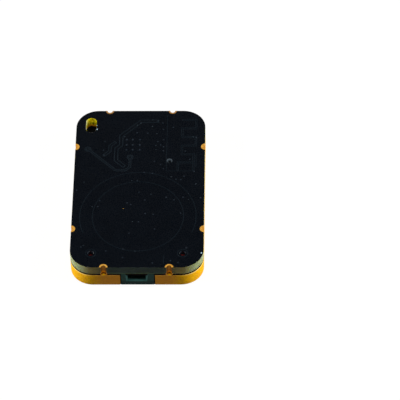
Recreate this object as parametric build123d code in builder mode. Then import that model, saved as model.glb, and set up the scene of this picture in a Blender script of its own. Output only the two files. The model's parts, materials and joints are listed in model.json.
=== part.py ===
"""Inventory tag: a circuit board on a moulded back housing, with a coin cell held in from below.

The origin is the centre of the underside. +X is to the right, +Y points from the prying notch
to the lanyard end, and +Z is up through the board. All sizes are in millimetres.
"""

import math
import os

from build123d import *

os.makedirs("parts", exist_ok=True)

# Coin cell
cell_radius = 10.0
cell_height = 3.2
cell_sheet = 0.25
cell_corner = 0.6
cell_lip_width = 1.0
cell_lip_corner = 0.2
cell_seal_width = 0.15
cap_step = 0.2
cap_corner = 0.15
cap_skirt_gap = 0.8
electrode_gap = 0.6
cathode_height = 1.6
separator_height = 0.2

# Contacts above and beside the cell
cell_recess = 0.15
contact_sheet = 0.12
contact_gap = 0.03
contact_disc_radius = 2.4
contact_edge_gap = 1.3
contact_finger_width = 1.1
contact_finger_bow = 1.3
contact_fingers = 3
clip_sheet = 0.2
clip_half_angle = 20.0
clip_foot_angle = 5.0
clip_foot_length = 1.0
clip_lift = 0.9
clip_relief = 0.15

# Cell holder
pocket_gap = 0.15
holder_wall = 1.72
holder_gap = 0.13
mouth_chamfer = 0.3
nose_width = 6.73
nose_gap = 0.2
nose_offset = 0.19
nose_chamfer = 0.05
nose_relief = 0.15
notch_width = 3.6
notch_flare = 0.2
notch_floor = 1.45
notch_chamfer = 0.33
peg_radius = 0.55
peg_gap = 0.1
peg_height = 1.0
peg_from_side = 4.28
peg_from_front = 3.77
peg_wall = 1.0

# Housing, gasket and board
corner_radius = 4.7
front_wall = 1.75
outer_wall = 1.65
partition_wall = 1.0
floor_thickness = 0.8
bay_front_gap = 1.5
bay_side_start = 8.5
edge_break = 0.04
gasket_thickness = 0.5
gasket_inset = 0.15
board_thickness = 2.0
copper_thickness = 0.04

# Lanyard slot
slot_width = 2.25
slot_length = 4.2
slot_from_side = 3.15
slot_from_back = 4.15
liner_wall = 0.5
liner_recess = 0.15
sleeve_wall = 1.0

# Locating post of the housing
post_radius = 1.3
post_hole_radius = 0.6
post_peg_gap = 0.08
post_peg_height = 0.6
post_from_side = 7.42
post_from_cell = 15.3

# Half-holes in the board's edge
half_hole_radius = 0.52
plating = 0.05
ring_width = 0.3
ring_gap = 0.15
end_contact_spacing = 13.34
side_contact_spacing = 22.7

# Tracks on top of the board, placed by how far they lie from its middle and behind the bay's back
supply_width = 0.75
supply_start_x = 3.8
supply_start_depth = 1.35
supply_bend_x = 0.1
supply_middle_x = 4.05
supply_middle_depth = 8.2
supply_outer_x = 5.0
supply_outer_depth = 12.45
supply_end_x = 3.2
branch_width = 0.6
branch_start_x = 5.2
branch_start_depth = 7.3
branch_middle_x = 6.35
branch_middle_depth = 9.9
branch_end_x = 7.6
battery_width = 0.45
battery_pad_x = 11.0
battery_pad_depth = 9.3
battery_bend_x = 5.05
battery_turn_x = 2.95
battery_end_x = 2.05
battery_end_depth = 11.6
ring_pad_radius = 0.65
ring_pad_hole = 0.3
antenna_width = 0.4
antenna_left_inset = 4.85
antenna_right_inset = 1.95
antenna_feed_inset = 2.4
antenna_short_inset = 5.65
antenna_top_inset = 2.65
antenna_rows = 5
antenna_foot_from_cell = 12.5
antenna_foot_length = 4.6
antenna_short_height = 2.3

# Chip parts under the board
part_gap = 0.7
chip_size = 6.0
chip_height = 0.85
chip_standoff = 0.05
chip_lead_length = 0.4
chip_lead_width = 0.2
chip_lead_pitch = 0.4
chip_leads_per_side = 12
chip_pad_size = 4.4
chip_offset = 1.49
crystal_base_height = 0.3
crystal_lid_height = 0.4
crystal_lid_step = 0.15
crystal_drop = 1.0
radio_crystal_length = 3.2
radio_crystal_width = 2.5
clock_crystal_width = 1.5
sensor_size = 2.0
sensor_height = 0.9
memory_length = 3.0
memory_width = 2.0
memory_height = 0.6
end_step = 0.03
small_length = 1.0
small_width = 0.5
small_height = 0.5
small_end = 0.25
small_pitch = 1.1
small_per_column = 5
matching_start_angle = 30.0
matching_step_angle = 6.5
matching_parts = 3
bulk_length = 3.2
bulk_width = 1.6
bulk_height = 1.6
bulk_end = 0.5
inductor_length = 2.0
inductor_width = 1.6
inductor_height = 1.0
inductor_end = 0.4

# Levels, from the underside up
cell_top = cell_recess + cell_height
lip_top = cell_top - cap_step
board_bottom = cell_top + contact_gap + contact_sheet
housing_height = board_bottom - gasket_thickness
board_top = board_bottom + board_thickness

# Inside sizes of the cell
can_floor = cell_recess + cell_sheet
can_inside = cell_radius - cell_sheet
lip_radius = cell_radius - cell_lip_width
cap_radius = lip_radius - cell_seal_width
cap_inside = cap_radius - cell_sheet
skirt_base = can_floor + cap_skirt_gap
cathode_top = can_floor + cathode_height
separator_top = cathode_top + separator_height
finger_reach = cap_radius - contact_edge_gap - contact_finger_width / 2

# Plan sizes, which follow from the cell, the walls and the rows of parts in the bay
pocket_radius = cell_radius + pocket_gap
clip_back = pocket_radius + clip_sheet
clip_foot_end = clip_back + clip_foot_length
holder_radius = pocket_radius + holder_wall
nose_depth = front_wall + holder_gap + holder_wall
opening_radius = holder_radius + holder_gap
partition_radius = opening_radius + partition_wall
rows_of_parts = memory_width + small_length + chip_size + inductor_width
bay_length = rows_of_parts + 4 * part_gap + bay_front_gap
tag_width = 2 * (opening_radius + outer_wall)
tag_length = front_wall + opening_radius + partition_radius + bay_length + outer_wall
side, end = tag_width / 2, tag_length / 2

# Places on the plan
cell_y = front_wall + opening_radius - end
bay_back = end - outer_wall
slot_x, slot_y = slot_from_side - side, end - slot_from_back
post_x, post_y = side - post_from_side, cell_y + post_from_cell
memory_y = bay_back - part_gap - memory_width / 2
cap_row_y = memory_y - memory_width / 2 - part_gap - small_length / 2
chip_x, chip_y = -chip_offset, cap_row_y - small_length / 2 - part_gap - chip_size / 2
inductor_y = chip_y - chip_size / 2 - part_gap - inductor_width / 2
crystal_x = chip_x - chip_size / 2 - part_gap - radio_crystal_length / 2
radio_crystal_y = chip_y - crystal_drop
clock_crystal_y = radio_crystal_y - (radio_crystal_width + clock_crystal_width) / 2 - part_gap
bulk_x = part_gap + bulk_width / 2 + outer_wall - side
bulk_y = clock_crystal_y - clock_crystal_width / 2 - part_gap - bulk_length / 2
cap_column_x = chip_x + chip_size / 2 + part_gap + small_length / 2
resistor_column_x = cap_column_x + small_length + part_gap
sensor_x = (cap_column_x + resistor_column_x) / 2
barrel_radius = half_hole_radius + plating
ring_radius = barrel_radius + ring_width
peg_x, peg_y = side - peg_from_side, peg_from_front - end

signs = (-1, 1)
peg_places = [(x * peg_x, peg_y) for x in signs]
half_hole_places = [(x * end_contact_spacing / 2, y * end) for x in signs for y in signs]
half_hole_places += [(x * side, y * side_contact_spacing / 2) for x in signs for y in signs]
clip_foot_angles = [90 + turn * (clip_half_angle - clip_foot_angle / 2) for turn in signs]
pieces = {}


def holder_area(gap, beside_nose):
    """Draws the cell holder's plan, made larger by gap, and by another gap beside its nose."""
    with Locations((0, cell_y)):
        Circle(holder_radius + gap)
    with Locations((0, peg_y)):
        SlotCenterToCenter(2 * peg_x, 2 * (peg_radius + peg_wall + gap))
    with Locations((nose_offset, -end)):
        Rectangle(nose_width + 2 * beside_nose, nose_depth, align=(Align.CENTER, Align.MIN))


def ring_sector(inner, outer, middle, half_angle):
    """Draws a sector of a ring round the cell's axis, with its middle at that angle."""
    start, sweep = middle - half_angle, 2 * half_angle
    with BuildLine() as border:
        near = CenterArc((0, cell_y), inner, start, sweep)
        far = CenterArc((0, cell_y), outer, start, sweep)
        Line(near @ 0, far @ 0)
        Line(near @ 1, far @ 1)
    make_face(border.edges())


def slanted(point, x, rise):
    """Gives the place at that x on the 45 degree line through a point, above it for a rise of 1."""
    return (x, point[1] + rise * abs(x - point[0]))


def track(width, points):
    """Draws a track of one width through points."""
    with BuildLine() as path:
        Polyline(*points)
    trace(path.line, line_width=width)


def block(name, length, width, height, x, y):
    """Makes one plain chip part that hangs under the board."""
    with BuildPart() as body:
        with BuildSketch(Plane.XY.offset(board_bottom)):
            with Locations((x, y)):
                Rectangle(length, width)
        extrude(amount=-height)
        chamfer(body.edges().group_by(Axis.Z)[0], length=end_step)
    pieces[name] = body


def crystal(name, length, width, x, y):
    """Makes a crystal: a ceramic base with a metal lid, hanging under the board."""
    with BuildPart() as body:
        with BuildSketch(Plane.XY.offset(board_bottom)):
            with Locations((x, y)):
                Rectangle(length, width)
        extrude(amount=-crystal_base_height)
        with BuildSketch(Plane.XY.offset(board_bottom - crystal_base_height)):
            with Locations((x, y)):
                lid_length, lid_width = length - 2 * crystal_lid_step, width - 2 * crystal_lid_step
                RectangleRounded(lid_length, lid_width, crystal_lid_step)
        extrude(amount=-crystal_lid_height)
    pieces[name] = body


def end_capped_parts(name, length, width, height, cap, places):
    """Makes a group of like chip parts, each a ceramic body between two metal ends."""
    middle = board_bottom - height / 2
    with BuildPart() as group:
        with Locations(*[Location((x, y, middle), (0, 0, turn)) for x, y, turn in places]):
            Box(length - 2 * end_step, width - 2 * end_step, height - 2 * end_step)
            with Locations(((length - cap) / 2, 0, 0), ((cap - length) / 2, 0, 0)):
                Box(cap, width, height)
    pieces[name] = group


# Plans that several pieces share
with BuildSketch() as outline:
    RectangleRounded(tag_width, tag_length, corner_radius)

with BuildSketch() as slot_area:
    with Locations((slot_x, slot_y)):
        SlotOverall(slot_length, slot_width, rotation=90)

with BuildSketch() as liner_area:
    with Locations((slot_x, slot_y)):
        SlotOverall(slot_length + 2 * liner_wall, slot_width + 2 * liner_wall, rotation=90)

with BuildSketch() as opening_area:
    holder_area(holder_gap, nose_gap)

with BuildSketch() as bay_area:
    RectangleRounded(tag_width - 2 * outer_wall, tag_length - 2 * outer_wall, corner_radius - outer_wall)
    with Locations((0, cell_y)):
        Circle(partition_radius, mode=Mode.SUBTRACT)
    with Locations((0, cell_y + bay_side_start)):
        Rectangle(tag_width, tag_length, align=(Align.CENTER, Align.MAX), mode=Mode.SUBTRACT)
    with Locations((slot_x, slot_y)):
        around = 2 * (liner_wall + sleeve_wall)
        SlotOverall(slot_length + around, slot_width + around, rotation=90, mode=Mode.SUBTRACT)

# Housing: floor, outer wall, sleeve round the slot and a post that locates the board
with BuildPart() as housing:
    with BuildSketch():
        add(outline.sketch)
    extrude(amount=housing_height)
    chamfer(housing.edges().group_by(Axis.Z)[0], length=edge_break)
    chamfer(housing.edges().group_by(Axis.Z)[-1], length=edge_break)
    with BuildSketch(Plane.XY.offset(floor_thickness)):
        add(bay_area.sketch)
        with Locations((post_x, post_y)):
            Circle(post_radius, mode=Mode.SUBTRACT)
    extrude(amount=housing_height - floor_thickness, mode=Mode.SUBTRACT)
    with BuildSketch():
        add(opening_area.sketch)
        add(liner_area.sketch)
    extrude(amount=housing_height, mode=Mode.SUBTRACT)
    with BuildSketch(Plane.XY.offset(housing_height)):
        with Locations((post_x, post_y)):
            Circle(post_radius)
    extrude(amount=gasket_thickness)
    with BuildSketch(Plane.XY.offset(board_bottom)):
        with Locations((post_x, post_y)):
            Circle(post_hole_radius - post_peg_gap)
    extrude(amount=post_peg_height)
pieces["housing"] = housing

# Gasket: adhesive sheet between the housing's walls and the board, cut back at the half-holes
with BuildPart() as gasket:
    with BuildSketch(Plane.XY.offset(housing_height)):
        inset = 2 * gasket_inset
        RectangleRounded(tag_width - inset, tag_length - inset, corner_radius - gasket_inset)
        add(bay_area.sketch, mode=Mode.SUBTRACT)
        add(opening_area.sketch, mode=Mode.SUBTRACT)
        add(liner_area.sketch, mode=Mode.SUBTRACT)
        with Locations(*half_hole_places):
            Circle(ring_radius + ring_gap, mode=Mode.SUBTRACT)
    extrude(amount=gasket_thickness)
pieces["gasket"] = gasket

# Liner: rubber sleeve in the housing's slot, up to the board
with BuildPart() as slot_liner:
    with BuildSketch(Plane.XY.offset(liner_recess)):
        add(liner_area.sketch)
        add(slot_area.sketch, mode=Mode.SUBTRACT)
    extrude(amount=board_bottom - liner_recess)
pieces["slot_liner"] = slot_liner

# Board: laminate with its slot, locating holes and half-holes
with BuildPart() as board:
    with BuildSketch(Plane.XY.offset(board_bottom)):
        add(outline.sketch)
        add(slot_area.sketch, mode=Mode.SUBTRACT)
        with Locations(*peg_places):
            Circle(peg_radius + peg_gap, mode=Mode.SUBTRACT)
        with Locations((post_x, post_y)):
            Circle(post_hole_radius, mode=Mode.SUBTRACT)
        with Locations(*half_hole_places):
            Circle(barrel_radius, mode=Mode.SUBTRACT)
    extrude(amount=board_thickness)
pieces["board"] = board

# Edge contacts: a plated half barrel between two half rings at each half-hole
with BuildPart() as edge_contacts:
    levels = [(board_bottom - copper_thickness, copper_thickness, ring_radius)]
    levels += [(board_bottom, board_thickness, barrel_radius)]
    levels += [(board_top, copper_thickness, ring_radius)]
    for level, height, radius in levels:
        with BuildSketch(Plane.XY.offset(level)):
            with Locations(*half_hole_places):
                Circle(radius)
                Circle(half_hole_radius, mode=Mode.SUBTRACT)
            add(outline.sketch, mode=Mode.INTERSECT)
        extrude(amount=height)
pieces["edge_contacts"] = edge_contacts

# Signal tracks: the supply track, its branch and the battery track between two ring pads
supply_points = [(supply_start_x, bay_back - supply_start_depth)]
supply_points += [(supply_bend_x, bay_back - supply_start_depth)]
supply_points += [slanted(supply_points[-1], -supply_middle_x, -1)]
supply_points += [(-supply_middle_x, bay_back - supply_middle_depth)]
supply_points += [slanted(supply_points[-1], -supply_outer_x, -1)]
supply_points += [(-supply_outer_x, bay_back - supply_outer_depth)]
supply_points += [slanted(supply_points[-1], -supply_end_x, -1)]
branch_points = [(-branch_start_x, bay_back - branch_start_depth)]
branch_points += [slanted(branch_points[-1], -branch_middle_x, -1)]
branch_points += [(-branch_middle_x, bay_back - branch_middle_depth)]
branch_points += [slanted(branch_points[-1], -branch_end_x, -1)]
battery_points = [(-battery_pad_x, bay_back - battery_pad_depth)]
battery_points += [slanted(battery_points[-1], -battery_bend_x, -1)]
battery_points += [(-battery_turn_x, battery_points[-1][1])]
battery_points += [slanted(battery_points[-1], -battery_end_x, 1)]
battery_points += [(-battery_end_x, bay_back - battery_end_depth)]
with BuildPart() as signal_tracks:
    with BuildSketch(Plane.XY.offset(board_top)):
        track(supply_width, supply_points)
        track(branch_width, branch_points)
        track(battery_width, battery_points)
        with Locations(battery_points[0], battery_points[-1]):
            Circle(ring_pad_radius)
            Circle(ring_pad_hole, mode=Mode.SUBTRACT)
    extrude(amount=copper_thickness)
pieces["signal_tracks"] = signal_tracks

# Antenna track: a folded line up the right side, with a feed and a foot to ground
foot_y = cell_y + antenna_foot_from_cell
low_y, high_y = foot_y + antenna_foot_length, end - antenna_top_inset
left_x, right_x = side - antenna_left_inset, side - antenna_right_inset
feed_x, short_x = side - antenna_feed_inset, side - antenna_short_inset
short_y = foot_y + antenna_short_height
folds = [(feed_x, foot_y), (feed_x, low_y)]
for row in range(antenna_rows):
    row_y = low_y + (high_y - low_y) * row / (antenna_rows - 1)
    row_ends = (left_x, right_x) if row % 2 else (right_x, left_x)
    folds += [(x, row_y) for x in row_ends if row or x == left_x]
with BuildPart() as antenna_track:
    with BuildSketch(Plane.XY.offset(board_top)):
        track(antenna_width, folds)
        track(antenna_width, [(feed_x, short_y), (short_x, short_y), (short_x, foot_y)])
    extrude(amount=copper_thickness)
pieces["antenna_track"] = antenna_track

# Cell holder: ring, bar with two pegs, and the nose that carries the prying notch
with BuildPart() as cell_holder:
    with BuildSketch():
        holder_area(0, 0)
    extrude(amount=board_bottom)
    nose_front = cell_holder.faces().sort_by(Axis.Y)[0]
    nose_edges = nose_front.edges().sort_by(Axis.Z)
    chamfer(nose_edges[0], length=nose_chamfer)
    chamfer(nose_edges[-1], length=nose_relief)
    with BuildSketch(Plane.XZ.offset(end)):
        half, open_half = notch_width / 2, notch_width / 2 + notch_flare
        with BuildLine():
            notch_corners = [(-half, notch_floor), (half, notch_floor)]
            notch_corners += [(open_half, board_bottom), (-open_half, board_bottom)]
            Polyline(*notch_corners, close=True)
        make_face()
    extrude(amount=-(nose_depth + pocket_gap), mode=Mode.SUBTRACT)
    on_front = cell_holder.edges().filter_by_position(Axis.Y, -end, -end, inclusive=(True, True))
    in_notch = on_front.filter_by_position(Axis.X, -open_half, open_half)
    chamfer(in_notch.group_by(Axis.Z)[1:], length=notch_chamfer)
    with BuildSketch():
        with Locations((0, cell_y)):
            Circle(pocket_radius)
    extrude(amount=board_bottom, mode=Mode.SUBTRACT)
    mouth = cell_holder.edges().filter_by(GeomType.CIRCLE).filter_by_position(Axis.Z, 0, 0)
    chamfer([edge for edge in mouth if abs(edge.radius - pocket_radius) < pocket_gap], length=mouth_chamfer)
    relief_angle = math.degrees(clip_relief / pocket_radius)
    with BuildSketch(Plane.XY.offset(clip_lift - clip_relief)):
        relief_half_angle = clip_half_angle + relief_angle
        ring_sector(pocket_radius - pocket_gap, clip_back + clip_relief, 90, relief_half_angle)
    extrude(amount=board_bottom - clip_lift + clip_relief, mode=Mode.SUBTRACT)
    with BuildSketch(Plane.XY.offset(board_bottom - clip_sheet - clip_relief)):
        relief_half_angle = clip_foot_angle / 2 + relief_angle
        for angle in clip_foot_angles:
            ring_sector(pocket_radius, clip_foot_end + clip_relief, angle, relief_half_angle)
    extrude(amount=clip_sheet + clip_relief, mode=Mode.SUBTRACT)
    with BuildSketch(Plane.XY.offset(board_bottom)):
        with Locations(*peg_places):
            Circle(peg_radius)
    extrude(amount=peg_height)
pieces["cell_holder"] = cell_holder

# Positive contact: a curved clip beside the cell with two soldered feet
with BuildPart() as positive_contact:
    with BuildSketch(Plane.XY.offset(clip_lift)):
        ring_sector(pocket_radius, clip_back, 90, clip_half_angle)
    extrude(amount=board_bottom - clip_lift)
    with BuildSketch(Plane.XY.offset(board_bottom)):
        for angle in clip_foot_angles:
            ring_sector(pocket_radius, clip_foot_end, angle, clip_foot_angle / 2)
    extrude(amount=-clip_sheet)
pieces["positive_contact"] = positive_contact

# Negative contact: a sheet disc with curved fingers, pressed flat under the board
with BuildPart() as negative_contact:
    with BuildSketch(Plane.XY.offset(board_bottom)):
        with Locations((0, cell_y)):
            Circle(contact_disc_radius)
            with PolarLocations(0, contact_fingers):
                bend = (finger_reach / 2, contact_finger_bow)
                finger = Edge.make_three_point_arc((0, 0), bend, (finger_reach, 0))
                SlotArc(finger, contact_finger_width)
    extrude(amount=-contact_sheet)
pieces["negative_contact"] = negative_contact

# Cell can: the drawn outer shell, its rim turned in over the seal
with BuildPart() as cell_can:
    with BuildSketch(Plane.XY.offset(cell_recess)):
        with Locations((0, cell_y)):
            Circle(cell_radius)
    extrude(amount=lip_top - cell_recess)
    fillet(cell_can.edges().group_by(Axis.Z)[0], radius=cell_corner)
    fillet(cell_can.edges().group_by(Axis.Z)[-1], radius=cell_lip_corner)
    with BuildSketch(Plane.XY.offset(can_floor)):
        with Locations((0, cell_y)):
            Circle(can_inside)
    extrude(amount=lip_top - cell_sheet - can_floor, mode=Mode.SUBTRACT)
    with BuildSketch(Plane.XY.offset(can_floor)):
        with Locations((0, cell_y)):
            Circle(lip_radius)
    extrude(amount=lip_top - can_floor, mode=Mode.SUBTRACT)
pieces["cell_can"] = cell_can

# Cell cap: the smaller shell that faces the board
with BuildPart() as cell_cap:
    with BuildSketch(Plane.XY.offset(skirt_base)):
        with Locations((0, cell_y)):
            Circle(cap_radius)
    extrude(amount=cell_top - skirt_base)
    fillet(cell_cap.edges().group_by(Axis.Z)[-1], radius=cap_corner)
    with BuildSketch(Plane.XY.offset(skirt_base)):
        with Locations((0, cell_y)):
            Circle(cap_inside)
    extrude(amount=cell_top - cell_sheet - skirt_base, mode=Mode.SUBTRACT)
pieces["cell_cap"] = cell_cap

# Cell seal: plastic ring that keeps the two shells apart
with BuildPart() as cell_seal:
    rings = [(can_floor, skirt_base, cap_inside, can_inside)]
    rings += [(skirt_base, lip_top - cell_sheet, cap_radius, can_inside)]
    rings += [(lip_top - cell_sheet, lip_top, cap_radius, lip_radius)]
    for low, high, inner, outer in rings:
        with BuildSketch(Plane.XY.offset(low)):
            with Locations((0, cell_y)):
                Circle(outer)
                Circle(inner, mode=Mode.SUBTRACT)
        extrude(amount=high - low)
pieces["cell_seal"] = cell_seal

# Inside of the cell, from the can's floor to the cap
electrode_radius = cap_inside - electrode_gap
layers = [("cell_cathode", can_floor, cathode_top, electrode_radius)]
layers += [("cell_separator", cathode_top, separator_top, cap_inside)]
layers += [("cell_anode", separator_top, cell_top - cell_sheet, electrode_radius)]
for name, low, high, radius in layers:
    with BuildPart() as layer:
        with BuildSketch(Plane.XY.offset(low)):
            with Locations((0, cell_y)):
                Circle(radius)
        extrude(amount=high - low)
    pieces[name] = layer

# Radio chip: moulded body over leads and a heat pad on the board
with BuildPart() as radio_chip:
    with BuildSketch(Plane.XY.offset(board_bottom - chip_standoff)):
        with Locations((chip_x, chip_y)):
            Rectangle(chip_size, chip_size)
    extrude(amount=chip_standoff - chip_height)
    chamfer(radio_chip.edges().group_by(Axis.Z)[0], length=end_step)
pieces["radio_chip"] = radio_chip

with BuildPart() as chip_leads:
    with BuildSketch(Plane.XY.offset(board_bottom)):
        with Locations((chip_x, chip_y)):
            Rectangle(chip_pad_size, chip_pad_size)
            lead_reach = (chip_size - chip_lead_length) / 2
            for turn in range(0, 360, 90):
                with Locations(Location((0, 0), turn)):
                    with Locations((lead_reach, 0)):
                        with GridLocations(0, chip_lead_pitch, 1, chip_leads_per_side):
                            Rectangle(chip_lead_length, chip_lead_width)
    extrude(amount=-chip_standoff)
pieces["chip_leads"] = chip_leads

# Other parts in the bay
crystal("radio_crystal", radio_crystal_length, radio_crystal_width, crystal_x, radio_crystal_y)
crystal("clock_crystal", radio_crystal_length, clock_crystal_width, crystal_x, clock_crystal_y)
block("motion_sensor", sensor_size, sensor_size, sensor_height, sensor_x, memory_y)
block("memory_chip", memory_length, memory_width, memory_height, chip_x, memory_y)

small_reach = (small_per_column - 1) / 2 * small_pitch
small_steps = [place * small_pitch - small_reach for place in range(small_per_column)]
capacitor_places = [(cap_column_x, chip_y + step, 0) for step in small_steps]
capacitor_places += [(chip_x + step, cap_row_y, 90) for step in small_steps]
resistor_places = [(resistor_column_x, chip_y + step, 0) for step in small_steps]
small_sizes = (small_length, small_width, small_height, small_end)
end_capped_parts("ceramic_capacitors", *small_sizes, capacitor_places)
end_capped_parts("resistors", *small_sizes, resistor_places)

matching_radius = partition_radius + part_gap + small_width / 2
matching_angles = [matching_start_angle + step * matching_step_angle for step in range(matching_parts)]
matching_places = []
for angle in matching_angles:
    turn = math.radians(angle)
    x, y = matching_radius * math.sin(turn), cell_y + matching_radius * math.cos(turn)
    matching_places.append((x, y, -angle))
end_capped_parts("matching_parts", *small_sizes, matching_places)

bulk_sizes = (bulk_length, bulk_width, bulk_height, bulk_end)
bulk_places = [(x, bulk_y, 90) for x in (bulk_x, bulk_x + bulk_width + part_gap)]
end_capped_parts("bulk_capacitors", *bulk_sizes, bulk_places)

inductor_sizes = (inductor_length, inductor_width, inductor_height, inductor_end)
inductor_reach = (inductor_length + part_gap) / 2
inductor_places = [(chip_x + sign * inductor_reach, inductor_y, 0) for sign in signs]
end_capped_parts("power_inductors", *inductor_sizes, inductor_places)

for name, piece in pieces.items():
    piece.part.label = name
    export_step(piece.part, f"parts/{name}.step")
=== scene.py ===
"""Looks of the inventory tag: finishes, small surface details, light and camera.

Sizes are typed in millimetres and turned into metres by the value mm. Colours are linear.
"""

import json
import math

import bmesh
import bpy
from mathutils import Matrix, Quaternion, Vector
from mathutils.geometry import tessellate_polygon

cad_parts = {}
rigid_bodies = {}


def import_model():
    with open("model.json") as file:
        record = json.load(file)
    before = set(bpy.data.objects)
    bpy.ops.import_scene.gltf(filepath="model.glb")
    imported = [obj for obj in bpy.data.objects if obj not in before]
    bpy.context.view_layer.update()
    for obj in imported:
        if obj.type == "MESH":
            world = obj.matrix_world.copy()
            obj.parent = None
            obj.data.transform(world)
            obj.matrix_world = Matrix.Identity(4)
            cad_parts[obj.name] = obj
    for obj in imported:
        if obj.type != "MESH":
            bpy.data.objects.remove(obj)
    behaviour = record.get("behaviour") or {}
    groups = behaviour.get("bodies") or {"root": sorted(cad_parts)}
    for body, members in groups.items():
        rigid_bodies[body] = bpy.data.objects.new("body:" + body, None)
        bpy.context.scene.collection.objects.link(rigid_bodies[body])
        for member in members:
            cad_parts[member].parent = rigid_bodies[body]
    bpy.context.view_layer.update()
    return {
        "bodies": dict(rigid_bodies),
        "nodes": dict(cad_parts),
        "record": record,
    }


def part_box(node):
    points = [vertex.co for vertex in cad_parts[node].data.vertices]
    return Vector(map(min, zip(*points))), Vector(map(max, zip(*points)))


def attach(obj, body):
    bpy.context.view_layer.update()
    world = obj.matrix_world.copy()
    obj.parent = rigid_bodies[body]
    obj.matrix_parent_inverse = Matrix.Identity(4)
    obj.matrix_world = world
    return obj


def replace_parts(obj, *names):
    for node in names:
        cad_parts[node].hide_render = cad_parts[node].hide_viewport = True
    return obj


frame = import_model()

# A millimetre in metres
mm = 0.001

# Sizes and places that the frame gives
board_low, board_high = (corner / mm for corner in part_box("board"))
cap_low, cap_high = (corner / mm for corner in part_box("cell_cap"))
liner_low, liner_high = (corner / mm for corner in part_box("slot_liner"))
side, end = board_high.x, board_high.y
board_top, board_bottom = board_high.z, board_low.z
housing_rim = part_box("gasket")[0].z / mm
cell_y = (cap_low.y + cap_high.y) / 2
slot_x, slot_y = (liner_low.xy + liner_high.xy) / 2

# Sizes that the solids have too
corner_radius = 4.7
copper = 0.04
plating = 0.05
half_hole_radius = 0.52
ring_radius = 0.87
end_contact_x = 6.67
side_contact_y = 11.35
peg_x, peg_y = 9.37, -17.88
peg_hole_radius = 0.65
post_x, post_y = 6.23, 7.4
post_hole_radius = 0.6
slot_width, slot_length = 2.25, 4.2
nose_middle = 0.19
nose_width = 6.73
nose_gap = 0.2

# Each half-hole: its place and the direction from there into the board
half_holes = [
    ((-end_contact_x, -end), 90),
    ((end_contact_x, -end), 90),
    ((side, -side_contact_y), 180),
    ((side, side_contact_y), 180),
    ((end_contact_x, end), 270),
    ((-end_contact_x, end), 270),
    ((-side, side_contact_y), 0),
    ((-side, -side_contact_y), 0),
]

# Sizes of what only this script makes
mask_top = board_top + 0.02
mask_slope = 0.01
mask_margin = 0.005
slot_bare_rim = 0.01
via_top = mask_top + 0.016
dimple_top = mask_top + 0.004
relief_foot = mask_top - 0.004
relief_top = mask_top + 0.003
lip = 0.08
ring_slope = 0.05
collar = 0.24
collar_spread = 0.1
pip_radius = 0.3
pip_height = 0.2
shade_fill_top = board_top - 1.0
band_height = 0.5
bead_bite = 0.55
cap_bend = 0.45
cap_rim = 0.9
hatch_pitch = 0.82
hatch_depth = 0.05
hatch_turn = math.radians(17)
hatch_fade = 0.3
notch_back = 0.4 - end
notch_reach = 2.4
notch_floor = 1.0
tinned_share = 0.22
tin_thickness = 0.015

# The radius that stands for a middle point, and the angles of a rounded edge
tiny = 0.001
quarter_turn = [math.radians(angle) for angle in (0, 22.5, 45, 67.5, 90)]

# Nodes of chip parts with tinned ends
tinned_parts = (
    "ceramic_capacitors",
    "bulk_capacitors",
    "resistors",
    "matching_parts",
    "power_inductors",
)

# Chips in the mask's edge, pale blue as painted glints, each with its share of the full size
slot_chips = [(16.35, 1.0), (17.4, 0.6)]
corner_chip, corner_chip_share = (13.2, -17.83), 0.7

# Places of vias, read from the photograph
heat_vias = [(x, y) for y in (13.36, 11.85, 10.47) for x in (-2.88, -1.59, -0.10)]
vias = [
    (-0.77, 15.31), (1.52, 15.2), (3.57, 18.65), (4.61, 18.09), (4.79, 16.25), (6.86, 16.87),
    (4.9, 13.31), (3.68, 12.8), (3.26, 11.69), (4.28, 11.87), (4.9, 11.31), (4.9, 10.16),
    (3.08, 7.22), (4.41, 6.27), (4.97, 5.16), (2.75, 3.87), (1.01, 4.09), (-7.48, 12.8),
    (-7.7, 10.36), (-7.59, 8.91), (-0.37, 1.82), (-11.43, 1.42), (11.79, 13.91), (9.5, 10.07),
    (10.48, 7.76), (11.41, 4.38), (9.35, 3.02), (7.68, 2.2), (8.68, 2.09), (-7.99, -3.72),
    (-8.37, -5.34), (0.06, -1.43), (2.57, -1.97), (1.32, -3.54), (-2.32, -4.34), (-1.57, -4.79),
    (0.15, -9.48), (1.48, -7.21), (3.17, -7.43), (3.52, -11.45), (-1.7, -12.59), (5.75, -2.83),
    (7.35, -3.5), (9.23, -2.79), (8.79, -7.14), (-11.39, -16.25), (-10.92, -15.85), (-6.3, -17.32),
    (-2.81, -16.83), (-0.37, -17.37), (-2.81, -19.03), (3.26, -20.48), (6.92, -19.92),
    (10.1, -16.48), (8.46, -20.39),
]
# Small vias in dull bluish tin, which paints their glints
glint_vias = [
    (-3.32, 14.16), (-0.77, 17.49), (0.01, 18.05), (2.46, 18.98), (2.46, 17.09), (3.46, 15.02),
    (3.3, 10.53), (-1.54, 1.82), (11.83, 0.87), (12.86, -2.99), (10.35, -3.37), (-1.03, -9.43),
    (11.17, 14.11), (-12.8, -0.8), (-9.54, -5.39), (6.68, 2.8),
]
copper_speck = (-3.06, -5.88)

# Lines where the ground copper ends
ground_edges = [
    [(5.6, 20.4), (5.6, 4.53), (11.4, 4.53)],
    [(11.8, 9.3), (11.8, 5.5)],
    [(5.52, -18.5), (5.52, -20.65)],
]
cell_ring_radius = 9.4
cell_arc_radius = 12.0
peg_ring_radius = 1.05

# Floor, room and lamps
floor_drop = 0.02
floor_white = 0.93
floor_reach = 3000.0
room_level = 0.05
ground_level = 0.2
horizon_fade = 0.05
backdrop_fade = 0.26
backdrop_top = 0.62
lamp_distance = 500.0
lamp_width, lamp_height = 240.0, 260.0
lamp_colour = (1.0, 0.98, 0.94)

# Camera
camera_place = Vector((23.71, -386.22, 444.01))
camera_target = Vector((12.744, -3.531, board_top))
camera_roll = -1.3065
picture_width = 400
focal_pixels = 2815.0
nearest_seen, farthest_seen = 10.0, 20000.0


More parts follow.
